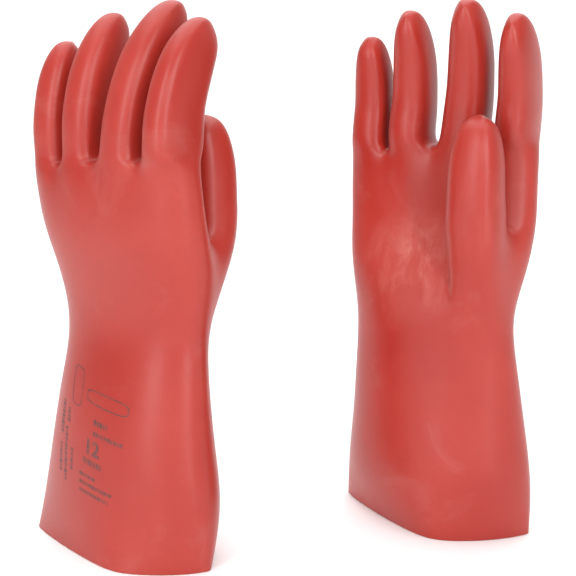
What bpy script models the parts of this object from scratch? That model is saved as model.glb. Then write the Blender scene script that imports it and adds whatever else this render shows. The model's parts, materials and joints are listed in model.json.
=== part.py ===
"""A pair of electrical insulating gloves: two seamless dipped rubber skins, one for each hand.

Metres, +Z up. Each glove stands on the cut rim of its cuff with the fingers up. One cage of quads is
smoothed into the skin of the left-hand glove. The skin is thickened inwards to the wall, and divided
where the rubber bends: at the wrist, and at two knuckles of each finger and of the thumb. The
right-hand glove is its mirror image.

In a glove's own frame u runs from the little finger to the thumb, v from the back of the hand to the
palm, and z from the rim to the fingertips. Dimensions below are in millimetres and degrees.
"""

import math

import bpy
from mathutils import Matrix, Vector

MM = 0.001

# ---- driving dimensions ---------------------------------------------------------------------------
WALL = 1.5
GAP = 0.3
CROTCH_HEIGHT = 266.0
THUMB_ROOT_HEIGHT = 193.0
TWIST_DEG = 5.0
TWIST_TOP = 130.0
HINGE_PALM_SHARE = 0.45
WRIST_HINGE = (0.0, 11.0, 133.0)
WEB_RISE = 2.0
DRIP_HEIGHT = 2.0
DRIP_SHARE = 0.20

# Where each glove stands, and how far it is turned, thumb side towards the front.
LEFT_PLACE, LEFT_YAW_DEG = (-100.9, -23.7), 32.0
RIGHT_PLACE, RIGHT_YAW_DEG = (108.8, 28.8), 33.5

# The nine points along the back of the hand, and along the palm, as shares of its half width.
HAND_SPREAD = (-0.93, -0.74, -0.52, -0.28, -0.03, 0.23, 0.49, 0.73, 0.93)
RING_POINTS = 20
RADIAL_EDGE = 10
STALL_POINTS = 8
STALL_CORNER = 1.20
LINE_STEPS = 24
CURL_POWER = 1.6
DIP_POWER = 1.5
THENAR_PLACE, THENAR_SPREAD = 0.49, 0.30
HOLLOW_PLACE, HOLLOW_SPREAD = -0.10, 0.42


class Ring:
    """One level of the tube from the rim to the finger roots."""

    def __init__(self, z, u, v, half_width, back, palm, hand=0.0, power=2.0, **more):
        self.z = z
        self.u = u
        self.v = v
        self.half_width = half_width
        self.back = back
        self.palm = palm
        self.hand = hand
        self.power = power
        self.hollow = more.get("hollow", 0.0)
        self.groove = more.get("groove", 0.0)
        self.dip = more.get("dip", 0.0)
        self.skew = more.get("skew", 0.0)
        self.thenar = more.get("thenar", 0.0)

    def abreast(self, place):
        """Its distance across the hand at a share of its half width."""
        return self.u + self.half_width * place + self.skew * (1 - place**2)

    def level(self, place):
        """Its height at a share of its half width: it dips towards the little finger."""
        return self.z - self.dip * ((1 - place) / 2) ** DIP_POWER


RINGS = (
    Ring(0, -6, -6, 74, 36, 48, power=1.13, skew=23),
    Ring(36, -0.5, -1, 70.5, 33.5, 47.5, power=1.8, skew=7),
    Ring(72, 0, 1.5, 64, 33, 41, skew=2),
    Ring(108, -0.5, 6, 60, 31, 34),
    Ring(132, -0.5, 10, 57, 29, 29, 0.1),
    Ring(156, -1, 11.5, 56, 25.5, 30.5, 0.3, 2.1, hollow=1.5, thenar=0.12),
    Ring(185, 0.5, 10.5, 63.5, 27.5, 31.5, 0.6, 2.3, hollow=4, thenar=0.22),
    Ring(214, 0, 4, 67, 29, 18.5, 0.8, 2.5, hollow=4, dip=3.5, thenar=0.14),
    Ring(238, -2, 0.5, 67.3, 26.5, 18, 1.0, 2.6, hollow=3, groove=1, dip=8),
    Ring(CROTCH_HEIGHT, -3.15, -3, 65.65, 23, 19, 1.0, 2.7, groove=3, dip=15),
)
WRIST_LOW, WRIST_HIGH, ROOTS_LOW = 3, 5, 7
THUMB_LOW, THUMB_MID, THUMB_HIGH = 5, 6, 7


class Stall:
    """A finger of the glove: its root, how it leans and curls, its thickness, and where it bends.

    The four bends are distances along it: the base knuckle lies between the first two and the middle
    knuckle between the last two.
    """

    def __init__(self, name, root, splay, lean, curl, length, half_width, half_depth, bends, tilt=0.0):
        self.name = name
        self.root = root
        self.splay = splay
        self.lean = lean
        self.curl = curl
        self.length = length
        self.half_width = half_width
        self.half_depth = half_depth
        self.bends = bends
        self.tilt = tilt


FINGERS = (
    Stall("little", (-55, 0, 252), 2, -9, 45, 82, 12.0, 15.0, (8, 23, 38, 53)),
    Stall("ring", (-26.5, 0, 256), 4, -8, 60, 100, 13.0, 18.5, (8, 24, 43, 59)),
    Stall("middle", (10.5, -5.5, 262.5), 7, 0, 58, 106.8, 14.0, 18.5, (6, 22, 45, 61)),
    Stall("index", (47, -5, 263.5), 3.5, -4, 64, 93, 12.0, 21.5, (6, 22, 40, 56)),
)
THUMB = Stall("thumb", (37.5, 34.5, THUMB_ROOT_HEIGHT), 0, 8, -20, 96, 18.0, 17.0, (14, 32, 48, 64), 24.0)


def across(ring):
    """Places across the hand of the nine points along one side: evenly round the arm, or as the hand."""
    step = math.pi / (len(HAND_SPREAD) + 1)
    places = []
    for i, hand_place in enumerate(HAND_SPREAD):
        arm_place = -math.cos((i + 1) * step)
        places.append((1 - ring.hand) * arm_place + ring.hand * hand_place)
    return places


def depth_share(ring, place):
    return (1 - abs(place) ** ring.power) ** (1 / ring.power)


def ring_points(ring):
    """The points of a ring: little finger edge, back, thumb edge, palm."""
    back = []
    palm = []
    for i, place in enumerate(across(ring)):
        groove = ring.groove if i in (2, 4, 6) else 0.0
        depth = ring.back * depth_share(ring, place) - groove
        back.append(Vector((ring.abreast(place), ring.v - depth, ring.level(place))))
        place -= ring.thenar * math.exp(-(((place - THENAR_PLACE) / THENAR_SPREAD) ** 2))
        hollow = ring.hollow * math.exp(-(((place - HOLLOW_PLACE) / HOLLOW_SPREAD) ** 2))
        depth = ring.palm * depth_share(ring, place) - groove - hollow
        palm.append(Vector((ring.abreast(place), ring.v + depth, ring.level(place))))
    little_edge = Vector((ring.abreast(-1), ring.v, ring.level(-1)))
    thumb_edge = Vector((ring.abreast(1), ring.v, ring.level(1)))
    return [little_edge, *back, thumb_edge, *reversed(palm)]


def twisted(point):
    """The hand turns a little about the arm, thumb side towards the back, on its way up from the rim."""
    share = min(point.z / TWIST_TOP, 1.0)
    return Matrix.Rotation(math.radians(-TWIST_DEG * share), 3, "Z") @ point


def heading(stall, share):
    """The direction of a stall's centreline, a share of its length from the root."""
    bend = math.radians(stall.lean + stall.curl * share**CURL_POWER)
    splay = math.radians(stall.splay)
    return Vector((math.sin(splay), math.sin(bend) * math.cos(splay), math.cos(bend) * math.cos(splay)))


def on_line(stall, distance):
    """A place on a stall's centreline, with the directions across the stall and towards the palm."""
    place = Vector(stall.root)
    for i in range(LINE_STEPS):
        share = (i + 0.5) / LINE_STEPS * distance / stall.length
        place += heading(stall, share) * (distance / LINE_STEPS)
    along = heading(stall, distance / stall.length)
    side = Vector((1, 0, 0))
    side = (side - along * side.dot(along)).normalized()
    return place, side, along.cross(side).normalized()


def stall_levels(stall):
    """Distance, share of the full thickness and share of the tilt for each ring of a stall."""
    a, b, c, d = stall.bends
    rest = stall.length - d
    return (
        (a, 1.09, 1.0),
        (b, 1.10, 0.6),
        (c, 1.04, 0.2),
        (d, 1.02, 0.0),
        (d + rest * 0.45, 0.905, 0.0),
        (d + rest * 0.79, 0.715, 0.0),
        (stall.length, DRIP_SHARE, 0.0),
    )


def stall_ring(stall, distance, share, tilt):
    place, side, palmward = on_line(stall, distance)
    palmward = Matrix.Rotation(math.radians(-stall.tilt * tilt), 3, side) @ palmward
    points = []
    for i in range(STALL_POINTS):
        turn = 2 * math.pi * i / STALL_POINTS
        corner = STALL_CORNER if i % 2 else 1.0
        across_stall = side * (math.sin(turn) * stall.half_width)
        deep = palmward * (math.cos(turn) * stall.half_depth)
        points.append(place + (across_stall - deep) * share * corner)
    return points


def hinge_place(stall, knuckle):
    """The place of a knuckle's hinge axis, and its direction, for knuckle 0 or 1."""
    low, high = stall.bends[2 * knuckle : 2 * knuckle + 2]
    place, side, palmward = on_line(stall, (low + high) / 2)
    return place + palmward * (HINGE_PALM_SHARE * stall.half_depth), side


class Cage:
    """Points and quads of the skin, each quad with the name of the piece that it belongs to."""

    def __init__(self):
        self.points = []
        self.quads = []
        self.pieces = []

    def add_points(self, points):
        first = len(self.points)
        self.points.extend(points)
        return list(range(first, len(self.points)))

    def add_quad(self, corners, piece):
        self.quads.append(tuple(corners))
        self.pieces.append(piece)

    def add_band(self, lower, upper, piece, skipped=()):
        for i in range(len(lower)):
            j = (i + 1) % len(lower)
            if i not in skipped:
                self.add_quad((lower[i], lower[j], upper[j], upper[i]), piece)


def add_stall(cage, stall, base, root_piece):
    """Adds a stall above the eight points of its base, which stand in order from the middle of its back."""
    pieces = [root_piece] + [f"{stall.name}_{part}" for part in ("base_knuckle", "lower", "mid_knuckle", "tip")]
    below = base
    for i, (distance, share, tilt) in enumerate(stall_levels(stall)):
        ring = cage.add_points(stall_ring(stall, distance, share, tilt))
        cage.add_band(below, ring, pieces[min(i, 4)])
        below = ring
    end = on_line(stall, stall.length + DRIP_HEIGHT)[0]
    tip = cage.add_points([end])[0]
    for i in range(1, STALL_POINTS, 2):
        following = [below[(i + k) % STALL_POINTS] for k in range(3)]
        cage.add_quad((*following, tip), pieces[4])


def add_fingers(cage, top):
    back = top[1:RADIAL_EDGE]
    palm = list(reversed(top[RADIAL_EDGE + 1 :]))
    webs = {0: top[0], 8: top[RADIAL_EDGE]}
    for i in (2, 4, 6):
        middle = (cage.points[back[i]] + cage.points[palm[i]]) / 2
        webs[i] = cage.add_points([middle + Vector((0, 0, WEB_RISE))])[0]
    for k, stall in enumerate(FINGERS):
        a, b, c = 2 * k, 2 * k + 1, 2 * k + 2
        base = [back[b], back[c], webs[c], palm[c], palm[b], palm[a], webs[a], back[a]]
        add_stall(cage, stall, base, "finger_roots")


def sleeve_piece(level):
    """The piece of the tube that starts at a ring."""
    if level < WRIST_LOW:
        return "cuff"
    if level < WRIST_HIGH:
        return "wrist"
    return "palm" if level < ROOTS_LOW else "finger_roots"


def build_cage():
    cage = Cage()
    rings = [cage.add_points(ring_points(ring)) for ring in RINGS]
    thumb_columns = (RADIAL_EDGE + 1, RADIAL_EDGE + 2)
    for level in range(len(rings) - 1):
        skipped = thumb_columns if level in (THUMB_LOW, THUMB_MID) else ()
        cage.add_band(rings[level], rings[level + 1], sleeve_piece(level), skipped)
    add_fingers(cage, rings[-1])
    low, mid, high = rings[THUMB_LOW], rings[THUMB_MID], rings[THUMB_HIGH]
    i, j, k = RADIAL_EDGE + 1, RADIAL_EDGE + 2, RADIAL_EDGE + 3
    add_stall(cage, THUMB, [high[j], high[i], mid[i], low[i], low[j], low[k], mid[k], high[k]], "palm")
    cage.points = [twisted(point) for point in cage.points]
    return cage


class Skin:
    """The smoothed outer surface of a glove, with the piece that each face belongs to."""

    def __init__(self, cage):
        names = sorted(set(cage.pieces), key=cage.pieces.index)
        mesh = bpy.data.meshes.new("cage")
        mesh.from_pydata([point * MM for point in cage.points], [], cage.quads)
        label = mesh.attributes.new("piece", "INT", "FACE")
        label.data.foreach_set("value", [names.index(piece) for piece in cage.pieces])
        holder = bpy.data.objects.new("cage", mesh)
        bpy.context.scene.collection.objects.link(holder)
        smoothing = holder.modifiers.new("smoothing", "SUBSURF")
        smoothing.levels = 1
        smoothing.render_levels = 1
        seen = holder.evaluated_get(bpy.context.evaluated_depsgraph_get())
        smooth = bpy.data.meshes.new_from_object(seen)
        self.points = [vertex.co.copy() for vertex in smooth.vertices]
        self.normals = [vertex.normal.copy() for vertex in smooth.vertices]
        self.faces = [tuple(face.vertices) for face in smooth.polygons]
        self.pieces = [names[item.value] for item in smooth.attributes["piece"].data]
        self.names = names
        bpy.data.objects.remove(holder)
        bpy.data.meshes.remove(smooth)
        bpy.data.meshes.remove(mesh)

    def mirrored(self):
        """Turns the skin into that of the other hand."""
        flip = Matrix.Diagonal((1, -1, 1))
        self.points = [flip @ point for point in self.points]
        self.normals = [flip @ normal for normal in self.normals]
        self.faces = [tuple(reversed(face)) for face in self.faces]
        return self


def seam_pull(skin, faces, others):
    """How far each point on a seam draws back from it, so that neighbouring pieces stand a gap apart."""
    shared = {point for face in others for point in face}
    pull = {}
    for face in faces:
        centre = sum((skin.points[i] for i in face), Vector()) / len(face)
        for i in face:
            if i in shared:
                pull[i] = pull.get(i, Vector()) + centre - skin.points[i]
    for i, way in pull.items():
        way -= skin.normals[i] * way.dot(skin.normals[i])
        pull[i] = way.normalized() * (GAP / 2 * MM)
    return pull


def open_edges(faces):
    """The directed edges of the faces that no other of them shares."""
    edges = [(face[i - 1], face[i]) for face in faces for i in range(len(face))]
    known = set(edges)
    return [edge for edge in edges if (edge[1], edge[0]) not in known]


def thickened(skin, piece):
    """A piece of the skin with its inner face and the walls round its open edges."""
    faces = [face for face, name in zip(skin.faces, skin.pieces) if name == piece]
    others = [face for face, name in zip(skin.faces, skin.pieces) if name != piece]
    pull = seam_pull(skin, faces, others)
    used = sorted({i for face in faces for i in face})
    order = {i: k for k, i in enumerate(used)}
    outer = [skin.points[i] + pull.get(i, Vector()) for i in used]
    inner = [point - skin.normals[i] * (WALL * MM) for point, i in zip(outer, used)]
    for k, i in enumerate(used):
        if skin.points[i].z < GAP * MM:
            inner[k].z = outer[k].z
    count = len(used)
    skins = [tuple(order[i] for i in face) for face in faces]
    lining = [tuple(i + count for i in reversed(face)) for face in skins]
    walls = [(b, a, a + count, b + count) for a, b in open_edges(skins)]
    return outer + inner, skins + lining + walls


def rubber(name):
    """Red-brown natural rubber."""
    material = bpy.data.materials.new(name + "_rubber")
    material.use_nodes = True
    shader = material.node_tree.nodes["Principled BSDF"]
    shader.inputs["Base Color"].default_value = (0.53, 0.075, 0.052, 1.0)
    shader.inputs["Roughness"].default_value = 0.45
    return material


def pivots(mirror):
    """The origin of each piece in the glove's frame, in millimetres: the hinge that it turns about."""
    places = {"palm": Vector(WRIST_HINGE), "finger_roots": Vector(WRIST_HINGE)}
    for stall in (*FINGERS, THUMB):
        base = hinge_place(stall, 0)[0]
        middle = hinge_place(stall, 1)[0]
        places[stall.name + "_lower"] = base
        places[stall.name + "_mid_knuckle"] = base
        places[stall.name + "_tip"] = middle
        places[stall.name + "_base_knuckle"] = places["palm"]
    turned = {name: twisted(place) for name, place in places.items()}
    return {name: Vector((p.x, -p.y if mirror else p.y, p.z)) for name, p in turned.items()}


def add_glove(collection, side, place, yaw_deg, mirror):
    """Adds the pieces of one glove, turned and set down in its place."""
    skin = Skin(build_cage())
    if mirror:
        skin.mirrored()
    origins = pivots(mirror)
    stand = Matrix.Translation(Vector((*place, 0.0)) * MM) @ Matrix.Rotation(math.radians(-yaw_deg), 4, "Z")
    for piece in skin.names:
        points, faces = thickened(skin, piece)
        origin = stand @ (origins.get(piece, Vector()) * MM)
        mesh = bpy.data.meshes.new(f"{side}_{piece}")
        mesh.from_pydata([stand @ point - origin for point in points], [], faces)
        mesh.materials.append(rubber(mesh.name))
        mesh.shade_smooth()
        mesh.set_sharp_from_angle(angle=math.radians(50))
        glove_piece = bpy.data.objects.new(mesh.name, mesh)
        glove_piece.location = origin
        collection.objects.link(glove_piece)


def main():
    for item in list(bpy.data.objects):
        bpy.data.objects.remove(item)
    collection = bpy.data.collections.new("insulating_gloves")
    bpy.context.scene.collection.children.link(collection)
    add_glove(collection, "left", LEFT_PLACE, LEFT_YAW_DEG, mirror=False)
    add_glove(collection, "right", RIGHT_PLACE, RIGHT_YAW_DEG, mirror=True)


main()
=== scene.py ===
"""The look of a pair of electrical insulating gloves: smooth dipped rubber skins and their ink print."""

import json
import math

import bmesh
import bpy
import numpy as np
from mathutils import Matrix, Vector
from mathutils.bvhtree import BVHTree


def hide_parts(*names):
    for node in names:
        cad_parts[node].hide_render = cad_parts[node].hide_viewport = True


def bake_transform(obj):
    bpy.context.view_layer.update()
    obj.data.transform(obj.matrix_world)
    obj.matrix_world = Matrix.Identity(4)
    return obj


for name in ("Cube", "Light", "Camera"):
    if name in bpy.data.objects:
        bpy.data.objects.remove(bpy.data.objects[name])
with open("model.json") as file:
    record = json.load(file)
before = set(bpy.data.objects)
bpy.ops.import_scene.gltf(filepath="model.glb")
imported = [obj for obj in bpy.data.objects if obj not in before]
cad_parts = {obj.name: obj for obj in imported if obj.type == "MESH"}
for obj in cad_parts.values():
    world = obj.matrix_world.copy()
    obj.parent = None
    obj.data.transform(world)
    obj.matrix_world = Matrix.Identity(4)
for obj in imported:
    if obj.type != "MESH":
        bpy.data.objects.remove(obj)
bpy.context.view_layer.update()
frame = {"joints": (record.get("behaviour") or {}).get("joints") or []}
joints = {joint["name"]: joint for joint in frame["joints"]}

MM = 0.001
SMOOTHING = 3
WALL = 1.5
RIM_ROUND = 0.3
CROTCH_HEIGHT = 266.0
THUMB_ROOT_HEIGHT = 193.0
TWIST_DEG = 5.0
TWIST_TOP = 130.0
WRIST_HINGE = (0.0, 11.0, 133.0)
SEAM_MARGIN = 4.0
WEB_RISE = 2.0
DRIP_HEIGHT = 2.0
DRIP_SHARE = 0.20
HAND_SPREAD = (-0.93, -0.74, -0.52, -0.28, -0.03, 0.23, 0.49, 0.73, 0.93)
RADIAL_EDGE = 10
STALL_POINTS = 8
STALL_CORNER = 1.20
LINE_STEPS = 24
CURL_POWER = 1.6
DIP_POWER = 1.5
THENAR_PLACE, THENAR_SPREAD = 0.49, 0.30
HOLLOW_PLACE, HOLLOW_SPREAD = -0.10, 0.42
SIDES = ("left", "right")
STALL_NAMES = ("little", "ring", "middle", "index", "thumb")


# ---- the shape of the skin, in millimetres, in the glove's own frame --------------------------------
# u runs from the little finger to the thumb, v from the back of the hand to the palm, z upwards.


class Ring:
    """One level of the tube from the rim to the finger roots."""

    def __init__(self, z, u, v, half_width, back, palm, hand=0.0, power=2.0, **more):
        self.z = z
        self.u = u
        self.v = v
        self.half_width = half_width
        self.back = back
        self.palm = palm
        self.hand = hand
        self.power = power
        self.hollow = more.get("hollow", 0.0)
        self.groove = more.get("groove", 0.0)
        self.dip = more.get("dip", 0.0)
        self.skew = more.get("skew", 0.0)
        self.little_power = more.get("little_power", power)
        self.thenar = more.get("thenar", 0.0)

    def abreast(self, place):
        """Its distance across the hand at a share of its half width."""
        return self.u + self.half_width * place + self.skew * (1 - place**2)

    def level(self, place):
        """Its height at a share of its half width: it dips towards the little finger."""
        return self.z - self.dip * ((1 - place) / 2) ** DIP_POWER


RINGS = (
    Ring(0, -5, -6, 73, 36, 48, power=1.13, skew=22, little_power=1.3),
    Ring(36, -0.5, -1, 70.5, 33.5, 47.5, power=1.8, skew=7),
    Ring(72, 0, 1.5, 64, 33, 41, skew=2),
    Ring(108, -0.5, 6, 60, 31, 34),
    Ring(132, -0.5, 10, 57, 29, 29, 0.1),
    Ring(156, -1, 11.5, 56, 25.5, 30.5, 0.3, 2.1, hollow=1.5, thenar=0.12),
    Ring(185, 0.5, 10.5, 63.5, 27.5, 31.5, 0.6, 2.3, hollow=4, thenar=0.22),
    Ring(214, 0, 4, 67, 29, 18.5, 0.8, 2.5, hollow=4, dip=3.5, thenar=0.14),
    Ring(238, -2, 0.5, 67.3, 26.5, 18, 1.0, 2.6, hollow=3, groove=1, dip=8),
    Ring(CROTCH_HEIGHT, -2.8, -3, 67.6, 23, 19, 1.0, 2.7, groove=3, dip=15),
)
THUMB_LOW, THUMB_MID, THUMB_HIGH = 5, 6, 7


class Stall:
    """A finger of the glove: its root, how it leans and curls, its thickness, and where it bends."""

    def __init__(self, name, root, splay, lean, curl, length, half_width, half_depth, bends, tilt=0.0):
        self.name = name
        self.root = root
        self.splay = splay
        self.lean = lean
        self.curl = curl
        self.length = length
        self.half_width = half_width
        self.half_depth = half_depth
        self.bends = bends
        self.tilt = tilt
        self.seam = (bends[1] + bends[2]) / 2


FINGERS = (
    Stall("little", (-55, 0, 252), 2, -9, 45, 82, 12.0, 15.0, (8, 23, 38, 53)),
    Stall("ring", (-26.5, 0, 256), 4, -8, 60, 100, 13.0, 18.5, (8, 24, 43, 59)),
    Stall("middle", (10.5, -5.5, 262.5), 7, 0, 58, 106.8, 14.0, 18.5, (6, 22, 45, 61)),
    Stall("index", (47, -5, 263.5), 3.5, -4, 64, 93, 12.0, 21.5, (6, 22, 40, 56)),
)
THUMB = Stall("thumb", (37.5, 34.5, THUMB_ROOT_HEIGHT), 0, 8, -20, 96, 18.0, 17.0, (14, 32, 48, 64), 24.0)


def across(ring):
    """Places across the hand of the nine points along one side: evenly round the arm, or as the hand."""
    step = math.pi / (len(HAND_SPREAD) + 1)
    places = []
    for i, hand_place in enumerate(HAND_SPREAD):
        arm_place = -math.cos((i + 1) * step)
        places.append((1 - ring.hand) * arm_place + ring.hand * hand_place)
    return places


def depth_share(ring, place):
    power = ring.power if place > 0 else ring.little_power
    return (1 - abs(place) ** power) ** (1 / power)


def ring_points(ring):
    """The points of a ring: little finger edge, back, thumb edge, palm."""
    back = []
    palm = []
    for i, place in enumerate(across(ring)):
        groove = ring.groove if i in (2, 4, 6) else 0.0
        depth = ring.back * depth_share(ring, place) - groove
        back.append(Vector((ring.abreast(place), ring.v - depth, ring.level(place))))
        place -= ring.thenar * math.exp(-(((place - THENAR_PLACE) / THENAR_SPREAD) ** 2))
        hollow = ring.hollow * math.exp(-(((place - HOLLOW_PLACE) / HOLLOW_SPREAD) ** 2))
        depth = ring.palm * depth_share(ring, place) - groove - hollow
        palm.append(Vector((ring.abreast(place), ring.v + depth, ring.level(place))))
    little_edge = Vector((ring.abreast(-1), ring.v, ring.level(-1)))
    thumb_edge = Vector((ring.abreast(1), ring.v, ring.level(1)))
    return [little_edge, *back, thumb_edge, *reversed(palm)]


def twisted(point):
    """The hand turns a little about the arm, thumb side towards the back, on its way up from the rim."""
    share = min(point.z / TWIST_TOP, 1.0)
    return Matrix.Rotation(math.radians(-TWIST_DEG * share), 3, "Z") @ point


def heading(stall, share):
    """The direction of a stall's centreline, a share of its length from the root."""
    bend = math.radians(stall.lean + stall.curl * share**CURL_POWER)
    splay = math.radians(stall.splay)
    return Vector((math.sin(splay), math.sin(bend) * math.cos(splay), math.cos(bend) * math.cos(splay)))


def on_line(stall, distance):
    """A place on a stall's centreline, with the directions across the stall and towards the palm."""
    place = Vector(stall.root)
    for i in range(LINE_STEPS):
        share = (i + 0.5) / LINE_STEPS * distance / stall.length
        place += heading(stall, share) * (distance / LINE_STEPS)
    along = heading(stall, distance / stall.length)
    side = Vector((1, 0, 0))
    side = (side - along * side.dot(along)).normalized()
    return place, side, along.cross(side).normalized()


def stall_levels(stall):
    """Distance, share of the full thickness and share of the tilt for each ring of a stall."""
    a, b, c, d = stall.bends
    rest = stall.length - d
    return (
        (a, 1.09, 1.0),
        (b, 1.10, 0.6),
        (stall.seam, 1.07, 0.4),
        (c, 1.04, 0.2),
        (d, 1.02, 0.0),
        (d + rest * 0.45, 0.905, 0.0),
        (d + rest * 0.79, 0.715, 0.0),
        (d + rest * 0.94, 0.46, 0.0),
        (stall.length - 0.2, 1.25 * DRIP_SHARE, 0.0),
        (stall.length + 1.0, 0.5 * DRIP_SHARE, 0.0),
    )


def tilted_back(stall, side, palmward, tilt):
    return Matrix.Rotation(math.radians(-stall.tilt * tilt), 3, side) @ palmward


def stall_ring(stall, distance, share, tilt):
    place, side, palmward = on_line(stall, distance)
    palmward = tilted_back(stall, side, palmward, tilt)
    points = []
    for i in range(STALL_POINTS):
        turn = 2 * math.pi * i / STALL_POINTS
        corner = STALL_CORNER if i % 2 else 1.0
        across_stall = side * (math.sin(turn) * stall.half_width)
        deep = palmward * (math.cos(turn) * stall.half_depth)
        points.append(place + (across_stall - deep) * share * corner)
    return points


class Cage:
    """Points and quads of the skin, each quad with the name of the piece that it belongs to."""

    def __init__(self):
        self.points = []
        self.quads = []
        self.pieces = []

    def add_points(self, points):
        first = len(self.points)
        self.points.extend(points)
        return list(range(first, len(self.points)))

    def add_quad(self, corners, piece):
        self.quads.append(tuple(corners))
        self.pieces.append(piece)

    def add_band(self, lower, upper, piece, skipped=()):
        for i in range(len(lower)):
            j = (i + 1) % len(lower)
            if i not in skipped:
                self.add_quad((lower[i], lower[j], upper[j], upper[i]), piece)


def add_stall(cage, stall, base):
    """Adds a stall above the eight points of its base, which stand in order from the middle of its back."""
    below = base
    for i, (distance, share, tilt) in enumerate(stall_levels(stall)):
        piece = "gauntlet" if i == 0 else stall.name + ("_lower" if i < 3 else "_tip")
        ring = cage.add_points(stall_ring(stall, distance, share, tilt))
        cage.add_band(below, ring, piece)
        below = ring
    end = on_line(stall, stall.length + DRIP_HEIGHT)[0]
    tip = cage.add_points([end])[0]
    for i in range(1, STALL_POINTS, 2):
        following = [below[(i + k) % STALL_POINTS] for k in range(3)]
        cage.add_quad((*following, tip), stall.name + "_tip")


def add_fingers(cage, top):
    back = top[1:RADIAL_EDGE]
    palm = list(reversed(top[RADIAL_EDGE + 1 :]))
    webs = {0: top[0], 8: top[RADIAL_EDGE]}
    for i in (2, 4, 6):
        middle = (cage.points[back[i]] + cage.points[palm[i]]) / 2
        webs[i] = cage.add_points([middle + Vector((0, 0, WEB_RISE))])[0]
    for k, stall in enumerate(FINGERS):
        a, b, c = 2 * k, 2 * k + 1, 2 * k + 2
        add_stall(cage, stall, [back[b], back[c], webs[c], palm[c], palm[b], palm[a], webs[a], back[a]])


def build_cage():
    cage = Cage()
    rings = [cage.add_points(ring_points(ring)) for ring in RINGS]
    thumb_columns = (RADIAL_EDGE + 1, RADIAL_EDGE + 2)
    for level in range(len(rings) - 1):
        skipped = thumb_columns if level in (THUMB_LOW, THUMB_MID) else ()
        cage.add_band(rings[level], rings[level + 1], "gauntlet", skipped)
    add_fingers(cage, rings[-1])
    low, mid, high = rings[THUMB_LOW], rings[THUMB_MID], rings[THUMB_HIGH]
    i, j, k = RADIAL_EDGE + 1, RADIAL_EDGE + 2, RADIAL_EDGE + 3
    add_stall(cage, THUMB, [high[j], high[i], mid[i], low[i], low[j], low[k], mid[k], high[k]])
    cage.points = [twisted(point) for point in cage.points]
    return cage


# ---- standing each glove where its frame stands ------------------------------------------------------


def glove_stand(side):
    """Takes millimetres in a glove's own frame to metres in the row frame, from the wrist joint's place."""
    joint = joints[f"{side}_wrist_bend"]
    mirror = Matrix.Diagonal((1, 1 if side == "left" else -1, 1, 1))
    axis = Vector(joint["axis"])
    hinge_line = twisted(Vector((1, 0, WRIST_HINGE[2]))) - twisted(Vector((0, 0, WRIST_HINGE[2])))
    across_hand = mirror.to_3x3() @ hinge_line * (-1 if side == "left" else 1)
    turn = math.atan2(axis.y, axis.x) - math.atan2(across_hand.y, across_hand.x)
    turned = Matrix.Rotation(turn, 4, "Z") @ mirror @ Matrix.Scale(MM, 4)
    hinge = turned @ twisted(Vector(WRIST_HINGE))
    return Matrix.Translation(Vector(joint["pos_m"]) - hinge) @ turned


class Skin:
    """The smoothed outer surface of a glove in the row frame, with the piece that each face belongs to."""

    def __init__(self, side):
        self.side = side
        self.stand = glove_stand(side)
        cage = build_cage()
        names = sorted(set(cage.pieces), key=cage.pieces.index)
        mesh = bpy.data.meshes.new("cage")
        mesh.from_pydata(cage.points, [], cage.quads)
        label = mesh.attributes.new("piece", "INT", "FACE")
        label.data.foreach_set("value", [names.index(piece) for piece in cage.pieces])
        holder = bpy.data.objects.new("cage", mesh)
        bpy.context.scene.collection.objects.link(holder)
        smoothing = holder.modifiers.new("smoothing", "SUBSURF")
        smoothing.levels = SMOOTHING
        smoothing.render_levels = SMOOTHING
        seen = holder.evaluated_get(bpy.context.evaluated_depsgraph_get())
        smooth = bpy.data.meshes.new_from_object(seen)
        self.own = np.array([vertex.co for vertex in smooth.vertices])
        smooth.transform(self.stand)
        self.faces = np.array([face.vertices for face in smooth.polygons])
        if side == "right":
            smooth.flip_normals()
            self.faces = self.faces[:, ::-1]
        smooth.update()
        self.points = np.array([vertex.co for vertex in smooth.vertices])
        self.normals = np.array([vertex.normal for vertex in smooth.vertices])
        self.labels = np.array([item.value for item in smooth.attributes["piece"].data])
        self.names = names
        bpy.data.objects.remove(holder)
        bpy.data.meshes.remove(smooth)
        bpy.data.meshes.remove(mesh)


def open_edges(faces):
    """The directed edges of the faces that no other of them shares."""
    edges = [(face[i - 1], face[i]) for face in faces for i in range(len(face))]
    known = set(edges)
    return [edge for edge in edges if (edge[1], edge[0]) not in known]


def rim_faces(edges, outer, inner, normals):
    """A softly rounded cut edge between the outer and the inner skin, at the foot of the cuff."""
    ring = sorted({i for edge in edges for i in edge})
    places = {}
    points = []
    round_off = RIM_ROUND * MM
    count = len(outer) * 2
    for i in ring:
        way = Vector(normals[i])
        way.z = 0
        way.normalize()
        near = Vector(outer[i]) - way * round_off
        far = Vector(inner[i]) + way * round_off
        near.z = 0.0
        far.z = 0.0
        places[i] = (count + len(points), count + len(points) + 1)
        points.extend((near, far))
        outer[i][2] = round_off
        inner[i][2] = round_off
    faces = []
    for a, b in edges:
        near = (places[b][0], places[a][0])
        far = (places[b][1], places[a][1])
        loops = ((b, a), near, far, (b + len(outer), a + len(outer)))
        for upper, lower in zip(loops, loops[1:]):
            faces.append((upper[0], upper[1], lower[1], lower[0]))
    return points, faces


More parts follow.
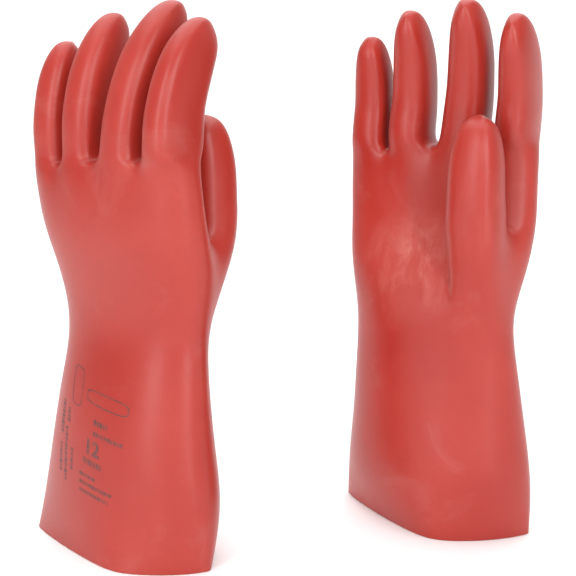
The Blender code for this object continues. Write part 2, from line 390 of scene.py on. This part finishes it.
def skin_piece(skin, piece, material):
    """One piece of a glove with its outer and inner skin, shaded as part of the whole."""
    chosen = skin.faces[skin.labels == skin.names.index(piece)]
    used = np.unique(chosen)
    order = {int(i): k for k, i in enumerate(used)}
    faces = [tuple(order[int(i)] for i in face) for face in chosen]
    outer = skin.points[used].copy()
    normals = skin.normals[used]
    inner = outer - normals * (WALL * MM)
    count = len(used)
    lining = [tuple(i + count for i in reversed(face)) for face in faces]
    rest = np.concatenate([skin.own[used], skin.own[used]])
    shading = [tuple(n) for n in normals] + [tuple(-n) for n in normals]
    rim_points, rim = [], []
    if piece == "gauntlet":
        foot = [edge for edge in open_edges(faces) if max(outer[i][2] for i in edge) < RIM_ROUND * MM]
        rim_points, rim = rim_faces(foot, outer, inner, normals)
        rest = np.concatenate([rest, np.repeat([[0.0, 0.0, 0.0]], len(rim_points), axis=0)])
        shading += [(0.0, 0.0, -1.0)] * len(rim_points)
    mesh = bpy.data.meshes.new(f"{skin.side}_{piece}_skin")
    points = [tuple(p) for p in outer] + [tuple(p) for p in inner] + [tuple(p) for p in rim_points]
    mesh.from_pydata(points, [], faces + lining + rim)
    mesh.shade_smooth()
    place = mesh.attributes.new("rest", "FLOAT_VECTOR", "POINT")
    place.data.foreach_set("vector", (rest * MM).astype(np.float32).ravel())
    mesh.normals_split_custom_set_from_vertices(shading)
    mesh.materials.append(material)
    made = bpy.data.objects.new(mesh.name, mesh)
    bpy.context.scene.collection.objects.link(made)
    return made


def add_skins(skin, material):
    side = skin.side
    gauntlet = skin_piece(skin, "gauntlet", material)
    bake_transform(gauntlet)
    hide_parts(f"{side}_cuff", f"{side}_wrist", f"{side}_palm", f"{side}_finger_roots")
    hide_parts(*(f"{side}_{name}_base_knuckle" for name in STALL_NAMES))
    for stall in (*FINGERS, THUMB):
        place, across_stall, palmward = on_line(stall, stall.bends[0])
        lower = skin_piece(skin, stall.name + "_lower", material)
        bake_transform(lower)
        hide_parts(f"{side}_{stall.name}_lower")
        tip = skin_piece(skin, stall.name + "_tip", material)
        start = on_line(stall, stall.seam + SEAM_MARGIN)[0]
        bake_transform(tip)
        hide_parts(f"{side}_{stall.name}_mid_knuckle", f"{side}_{stall.name}_tip")


# ---- the ink print on the back of the left cuff ---------------------------------------------------------
# Generic marks only: a hand size, blank outlines and rows of dashes, at their places (u, z) in millimetres.

INK_LIFT = 0.08
INK_THICKNESS = 0.06
INK_STEP = 2.5
INK_TILT = 0.16
INK_TILT_EDGE = -19.0
BEHIND_CUFF = -120.0
FONT_CAP_SHARE = 0.7
DIGIT_WEIGHT = 0.45
DIGIT_ROUNDNESS = 6
INK_CUTS = 4
SHORTEST_DASH = 1.0
SIZE_DIGITS, SIZE_DIGITS_PLACE, SIZE_DIGITS_HEIGHT = "12", (-15.0, 73.5), 9.5
# Rows of dashes: z, first and last u, height.
DASH_ROWS = (
    (93.5, -8, 5, 3.6),
    (86.5, -8, 17, 2.8),
    (66.0, -16, 2, 4.0),
    (57.0, -19, -3, 2.4),
    (51.5, -19, 11, 2.4),
    (46.0, -19, 9, 2.4),
)
# Columns of dashes: u, first and last z, width.
DASH_COLUMNS = (
    (-42, 50, 70, 2.8),
    (-42, 76, 98, 3.4),
    (-36, 46, 82, 2.8),
    (-35, 86, 96, 3.2),
    (-29, 56, 72, 2.4),
)
DASH_WIDTHS = (2.1, 1.3, 2.6, 0.9, 1.7, 2.3, 1.1)
DASH_GAP = 0.75
# Blank outlines: u and z of the centre, half width, half height, line.
OUTLINES = ((1.5, 110.5, 18, 4.6, 0.8), (-26.5, 112, 5.5, 12.5, 0.7))
OUTLINE_POINTS = 48
OUTLINE_SQUARENESS = 4


def dashes(low, high):
    """Starts and ends of the dashes along a row."""
    place = low
    count = 0
    while place + SHORTEST_DASH < high:
        end = min(place + DASH_WIDTHS[count % len(DASH_WIDTHS)], high)
        yield place, end
        place = end + DASH_GAP
        count += 1


def rectangle(left, low, right, high):
    return [Vector(corner) for corner in ((left, low), (right, low), (right, high), (left, high))]


def outline_faces(centre, half_size, line):
    """A closed line round a rectangle with very round corners."""
    inner, outer = [], []
    for i in range(OUTLINE_POINTS):
        turn = 2 * math.pi * i / OUTLINE_POINTS
        way = Vector((math.cos(turn), math.sin(turn)))
        corner = abs(way.x) ** OUTLINE_SQUARENESS + abs(way.y) ** OUTLINE_SQUARENESS
        reach = corner ** (-1 / OUTLINE_SQUARENESS)
        half_width, half_height = half_size
        outer.append(Vector(centre) + Vector((way.x * half_width, way.y * half_height)) * reach)
        inside = Vector((way.x * (half_width - line), way.y * (half_height - line)))
        inner.append(Vector(centre) + inside * reach)
    faces = []
    for i in range(OUTLINE_POINTS):
        j = (i + 1) % OUTLINE_POINTS
        faces.append((inner[i], inner[j], outer[j], outer[i]))
    return faces


def print_faces():
    """The marks as flat faces in the plane (u, z)."""
    faces = []
    for z, low, high, height in DASH_ROWS:
        for start, end in dashes(low, high):
            faces.append(rectangle(start, z, end, z + height))
    for u, low, high, width in DASH_COLUMNS:
        for start, end in dashes(low, high):
            faces.append(rectangle(u, start, u + width, end))
    for u, z, half_width, half_height, line in OUTLINES:
        faces.extend(outline_faces((u, z), (half_width, half_height), line))
    return faces


def digit_mesh():
    """The hand size as a flat mesh in the plane (u, z)."""
    curve = bpy.data.curves.new("size_digits", "FONT")
    curve.body = SIZE_DIGITS
    curve.size = SIZE_DIGITS_HEIGHT / FONT_CAP_SHARE
    curve.offset = DIGIT_WEIGHT
    curve.resolution_u = DIGIT_ROUNDNESS
    holder = bpy.data.objects.new("size_digits", curve)
    bpy.context.scene.collection.objects.link(holder)
    seen = holder.evaluated_get(bpy.context.evaluated_depsgraph_get())
    flat = bpy.data.meshes.new_from_object(seen)
    bpy.data.objects.remove(holder)
    flat.transform(Matrix.Translation((*SIZE_DIGITS_PLACE, 0.0)))
    return flat


def ink_mesh():
    """All the marks as one flat mesh, cut finely enough to lie on the curved cuff."""
    marks = bmesh.new()
    digits = digit_mesh()
    marks.from_mesh(digits)
    bpy.data.meshes.remove(digits)
    for face in print_faces():
        marks.faces.new([marks.verts.new((p.x, p.y, 0.0)) for p in face])
    bmesh.ops.remove_doubles(marks, verts=marks.verts, dist=0.001)
    bmesh.ops.triangulate(marks, faces=marks.faces)
    for _ in range(INK_CUTS):
        long = [edge for edge in marks.edges if edge.calc_length() > INK_STEP]
        if long:
            bmesh.ops.subdivide_edges(marks, edges=long, cuts=1)
            bmesh.ops.triangulate(marks, faces=marks.faces)
    flat = bpy.data.meshes.new("cuff_print")
    marks.to_mesh(flat)
    marks.free()
    return flat


def add_print(skin, material):
    """Lays the marks on the back of the cuff as a thin film of ink."""
    flat = ink_mesh()
    points = [tuple(point) for point in skin.own]
    surface = BVHTree.FromPolygons(points, [tuple(int(i) for i in face) for face in skin.faces])
    film, backs = [], []
    for vertex in flat.vertices:
        height = vertex.co.y - INK_TILT * (vertex.co.x - INK_TILT_EDGE)
        behind = Vector((vertex.co.x, BEHIND_CUFF, height))
        hit, normal = surface.ray_cast(behind, Vector((0, 1, 0)))[:2]
        if normal.y > 0:
            normal = -normal
        film.append(skin.stand @ (hit + normal * INK_LIFT))
        backs.append(skin.stand @ (hit + normal * (INK_LIFT - INK_THICKNESS)))
    count = len(film)
    faces = [tuple(face.vertices) for face in flat.polygons]
    lining = [tuple(i + count for i in reversed(face)) for face in faces]
    walls = [(b, a, a + count, b + count) for a, b in open_edges(faces)]
    mesh = bpy.data.meshes.new("left_cuff_print")
    mesh.from_pydata([tuple(p) for p in film + backs], [], faces + lining + walls)
    place = mesh.attributes.new("rest", "FLOAT_VECTOR", "POINT")
    own = [(v.co.x * MM, 0.0, v.co.y * MM) for v in flat.vertices] * 2
    place.data.foreach_set("vector", np.array(own, np.float32).ravel())
    mesh.materials.append(material)
    made = bpy.data.objects.new(mesh.name, mesh)
    bpy.context.scene.collection.objects.link(made)
    bpy.data.meshes.remove(flat)
    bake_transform(made)


# ---- materials -----------------------------------------------------------------------------------------


def node(tree, kind, **settings):
    made = tree.nodes.new(kind)
    for name, value in settings.items():
        setattr(made, name, value)
    return made


def noise(tree, place, scale, detail=4.0, roughness=0.55, distortion=0.0):
    made = node(tree, "ShaderNodeTexNoise")
    made.inputs["Scale"].default_value = scale
    made.inputs["Detail"].default_value = detail
    made.inputs["Roughness"].default_value = roughness
    made.inputs["Distortion"].default_value = distortion
    tree.links.new(place, made.inputs["Vector"])
    return made.outputs["Fac"]


def ramp(tree, value, low, high, out_low=0.0, out_high=1.0):
    made = node(tree, "ShaderNodeMapRange", clamp=True)
    made.inputs["From Min"].default_value = low
    made.inputs["From Max"].default_value = high
    made.inputs["To Min"].default_value = out_low
    made.inputs["To Max"].default_value = out_high
    tree.links.new(value, made.inputs["Value"])
    return made.outputs["Result"]


def mixed(tree, share, first, second):
    made = node(tree, "ShaderNodeMix", data_type="RGBA")
    for socket, value in (("Factor", share), ("A", first), ("B", second)):
        target = next(s for s in made.inputs if s.name == socket and s.enabled)
        if isinstance(value, (tuple, float)):
            target.default_value = value
        else:
            tree.links.new(value, target)
    return next(s for s in made.outputs if s.enabled)


# The colours of the rubber, and of its dust, specks and ink, and of the scuffs with a painted soft highlight
# in the palm hollow.
RUBBER_DEEP, RUBBER_LIGHT = (0.350, 0.019, 0.011, 1.0), (0.410, 0.034, 0.022, 1.0)
RUBBER_FINE = (0.35, 0.024, 0.015, 1.0)
DUST = (0.56, 0.20, 0.17, 1.0)
SPECK = (0.20, 0.018, 0.012, 1.0)
SCUFF_AND_HIGHLIGHT = (0.62, 0.24, 0.20, 1.0)
SHEEN_TINT = (1.0, 0.86, 0.84, 1.0)
INK, WORN_INK = (0.085, 0.038, 0.036, 1.0), (0.260, 0.036, 0.028, 1.0)
PALE_FLOOR = (0.90, 0.90, 0.90, 1.0)
# The hollow of the palm, scuffed and painted paler as a soft highlight, in metres in the glove's own frame:
# its middle, its edge and its core.
PALM_MIDDLE, PALM_EDGE, PALM_CORE = (-0.006, 0.036, 0.188), 0.042, 0.012
SCUFF_STRETCH = (60.0, 60.0, 22.0)


def bumped(tree, height, strength, distance):
    """A relief of the surface that follows a height."""
    made = node(tree, "ShaderNodeBump")
    made.inputs["Strength"].default_value = strength
    made.inputs["Distance"].default_value = distance
    tree.links.new(height, made.inputs["Height"])
    return made


def palm_scuffs_and_highlight(tree, place):
    """How much paler the rubber is painted: a painted soft highlight over the hollow of the palm, with
    scuffs in streaks along the hand; nowhere else.
    """
    palm = node(tree, "ShaderNodeVectorMath", operation="DISTANCE")
    palm.inputs[1].default_value = PALM_MIDDLE
    tree.links.new(place, palm.inputs[0])
    hollow = ramp(tree, palm.outputs["Value"], PALM_EDGE, PALM_CORE, 0.0, 1.0)
    streak = node(tree, "ShaderNodeMapping")
    streak.inputs["Scale"].default_value = SCUFF_STRETCH
    tree.links.new(place, streak.inputs["Vector"])
    streaks = noise(tree, streak.outputs["Vector"], 1.0, 8.0, 0.7, 0.5)
    # the floor of 0.10 paints the whole hollow paler as a soft highlight; the streaks rising above it are
    # scuffs
    scuff_and_highlight_share = ramp(tree, streaks, 0.44, 0.66, 0.10, 0.42)
    share = node(tree, "ShaderNodeMath", operation="MULTIPLY")
    tree.links.new(hollow, share.inputs[0])
    tree.links.new(scuff_and_highlight_share, share.inputs[1])
    return share.outputs["Value"]


def rubber_material():
    """Red-brown natural rubber, satin, slightly dusty, with faint mottling and specks, and scuffs with a
    painted soft highlight in the palm hollow.
    """
    material = bpy.data.materials.new("dipped_rubber")
    material.use_nodes = True
    tree = material.node_tree
    shader = tree.nodes["Principled BSDF"]
    place = node(tree, "ShaderNodeAttribute", attribute_name="rest").outputs["Vector"]
    cloud = ramp(tree, noise(tree, place, 11.0, 5.0), 0.35, 0.68)
    colour = mixed(tree, cloud, RUBBER_DEEP, RUBBER_LIGHT)
    fine = ramp(tree, noise(tree, place, 190.0, 3.0), 0.42, 0.66, 0.0, 0.30)
    colour = mixed(tree, fine, colour, RUBBER_FINE)
    dust = ramp(tree, noise(tree, place, 20.0, 8.0, 0.68, 0.8), 0.56, 0.76, 0.0, 0.18)
    colour = mixed(tree, dust, colour, DUST)
    # painted soft highlight: the palm hollow is mixed paler, with scuff streaks on top
    colour = mixed(tree, palm_scuffs_and_highlight(tree, place), colour, SCUFF_AND_HIGHLIGHT)
    specks = ramp(tree, noise(tree, place, 800.0, 2.0), 0.71, 0.76, 0.0, 0.6)
    colour = mixed(tree, specks, colour, SPECK)
    tree.links.new(colour, shader.inputs["Base Color"])
    tree.links.new(ramp(tree, cloud, 0.0, 1.0, 0.34, 0.42), shader.inputs["Roughness"])
    shader.inputs["Specular IOR Level"].default_value = 0.5
    shader.inputs["Sheen Weight"].default_value = 0.08
    shader.inputs["Sheen Roughness"].default_value = 0.4
    shader.inputs["Sheen Tint"].default_value = SHEEN_TINT
    grain = bumped(tree, noise(tree, place, 650.0, 3.0), 0.15, 0.0002)
    dents = bumped(tree, noise(tree, place, 38.0, 2.0), 0.30, 0.0008)
    tree.links.new(dents.outputs["Normal"], grain.inputs["Normal"])
    tree.links.new(grain.outputs["Normal"], shader.inputs["Normal"])
    return material


def ink_material():
    """Worn grey ink, thin enough in places for the rubber to show through."""
    material = bpy.data.materials.new("worn_ink")
    material.use_nodes = True
    tree = material.node_tree
    shader = tree.nodes["Principled BSDF"]
    place = node(tree, "ShaderNodeAttribute", attribute_name="rest").outputs["Vector"]
    wear = ramp(tree, noise(tree, place, 260.0, 4.0), 0.40, 0.66)
    colour = mixed(tree, wear, INK, WORN_INK)
    tree.links.new(colour, shader.inputs["Base Color"])
    shader.inputs["Roughness"].default_value = 0.5
    return material


def floor_material():
    material = bpy.data.materials.new("pale_paper")
    material.use_nodes = True
    shader = material.node_tree.nodes["Principled BSDF"]
    shader.inputs["Base Color"].default_value = PALE_FLOOR
    shader.inputs["Roughness"].default_value = 0.9
    return material


# ---- stage ------------------------------------------------------------------------------------------------


FLOOR_REACH, SWEEP_START, SWEEP_RADIUS, WALL_HEIGHT = 9.0, 1.2, 0.8, 4.0
SWEEP_STEPS = 12
FLOOR_DROP = 0.0002


def add_backdrop():
    """A pale floor that sweeps up behind the gloves."""
    profile = [(-FLOOR_REACH, 0.0), (SWEEP_START, 0.0)]
    for i in range(1, SWEEP_STEPS + 1):
        turn = math.pi / 2 * i / SWEEP_STEPS
        rise = SWEEP_RADIUS - SWEEP_RADIUS * math.cos(turn)
        profile.append((SWEEP_START + SWEEP_RADIUS * math.sin(turn), rise))
    profile.append((SWEEP_START + SWEEP_RADIUS, WALL_HEIGHT))
    points = [(x, y, z) for y, z in profile for x in (-FLOOR_REACH, FLOOR_REACH)]
    faces = [(2 * i, 2 * i + 1, 2 * i + 3, 2 * i + 2) for i in range(len(profile) - 1)]
    mesh = bpy.data.meshes.new("backdrop")
    mesh.from_pydata(points, [], faces)
    mesh.shade_smooth()
    mesh.materials.append(floor_material())
    floor = bpy.data.objects.new("backdrop", mesh)
    floor.location.z = -FLOOR_DROP
    bpy.context.scene.collection.objects.link(floor)


def add_light(name, place, target, width, height, power):
    light = bpy.data.lights.new(name, "AREA")
    light.shape = "RECTANGLE"
    light.size = width
    light.size_y = height
    light.energy = power
    lamp = bpy.data.objects.new(name, light)
    lamp.location = place
    lamp.rotation_euler = (Vector(target) - Vector(place)).to_track_quat("-Z", "Y").to_euler()
    bpy.context.scene.collection.objects.link(lamp)


def around(azimuth_deg, distance, height):
    """A place round the gloves: azimuth 0 is straight in front, positive to the right."""
    turn = math.radians(azimuth_deg)
    return (distance * math.sin(turn), -distance * math.cos(turn), height)


WORLD_STRENGTH = 0.48
MIDDLE = (0.0, 0.0, 0.20)
STRIP_DISTANCE, STRIP_HEIGHT, STRIP_WIDTH, STRIP_LENGTH, STRIP_POWER = 1.6, 0.75, 0.09, 1.5, 10.0


def add_strip(name, azimuth_deg):
    """A tall narrow light, for the long streaks on the rubber."""
    place = around(azimuth_deg, STRIP_DISTANCE, STRIP_HEIGHT)
    add_light(name, place, MIDDLE, STRIP_WIDTH, STRIP_LENGTH, STRIP_POWER)


def add_lights():
    world = bpy.data.worlds.new("studio")
    world.use_nodes = True
    background = world.node_tree.nodes["Background"]
    background.inputs["Color"].default_value = (1.0, 1.0, 1.0, 1.0)
    background.inputs["Strength"].default_value = WORLD_STRENGTH
    bpy.context.scene.world = world
    bpy.context.scene.view_settings.view_transform = "Standard"
    add_light("top", (0.0, 0.5, 2.2), (0.0, 0.4, 0.0), 3.0, 3.0, 58.0)
    add_light("front", (0.0, -2.6, 1.3), MIDDLE, 1.8, 1.0, 16.0)
    add_strip("strip_left", -34)
    add_strip("strip_right", 26)


CAMERA_PLACE = (0.0039, -0.9897, 0.420)
CAMERA_PITCH_DEG = 14.04
FOCAL_SHARE = 1545.0 / 576.0


def add_camera():
    camera = bpy.data.cameras.new("camera")
    camera.lens = FOCAL_SHARE * camera.sensor_width
    holder = bpy.data.objects.new("camera", camera)
    holder.location = CAMERA_PLACE
    holder.rotation_euler = (math.radians(90 - CAMERA_PITCH_DEG), 0.0, 0.0)
    bpy.context.scene.collection.objects.link(holder)
    bpy.context.scene.camera = holder


def main():
    rubber = rubber_material()
    skins = {side: Skin(side) for side in SIDES}
    for skin in skins.values():
        add_skins(skin, rubber)
    add_print(skins["left"], ink_material())
    add_backdrop()
    add_lights()
    add_camera()


main()
